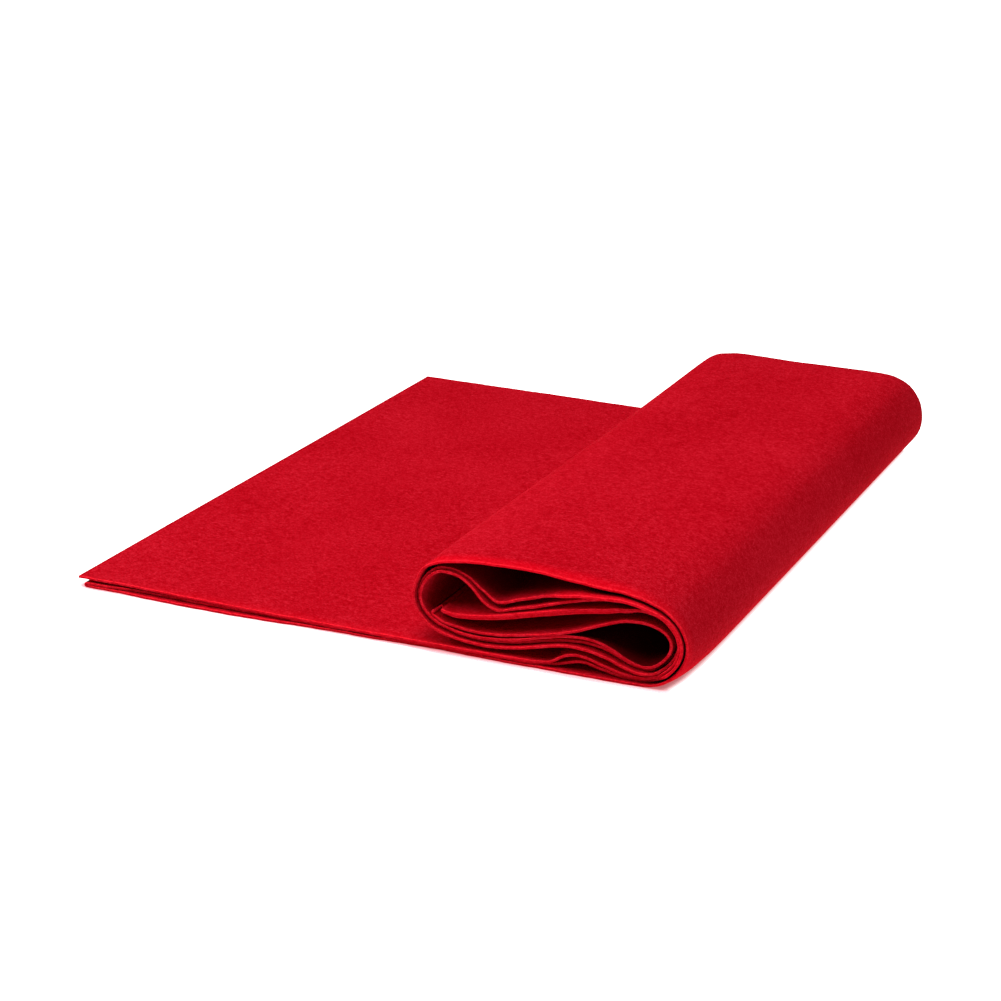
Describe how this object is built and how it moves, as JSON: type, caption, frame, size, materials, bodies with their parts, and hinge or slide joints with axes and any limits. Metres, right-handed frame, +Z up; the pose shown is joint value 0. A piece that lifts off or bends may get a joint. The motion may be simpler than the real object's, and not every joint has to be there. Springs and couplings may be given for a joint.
{
  "type": "roll of felt",
  "caption": "Length of felt folded back and forth in layers, with its left part lying flat and the rest rolled up loosely into a low, flattened roll.",
  "frame": {"origin": "on the floor, under the middle of the whole object's box", "axes": "+X from the flat left end to the roll, +Y from the near cut edge to the far one along the roll, +Z up"},
  "size_m": [0.3784, 0.45, 0.0565],
  "materials": {
    "felt_red": "matte"
  },
  "bodies": {
    "root": {"felt_length": "felt_red"}
  },
  "joints": []
}
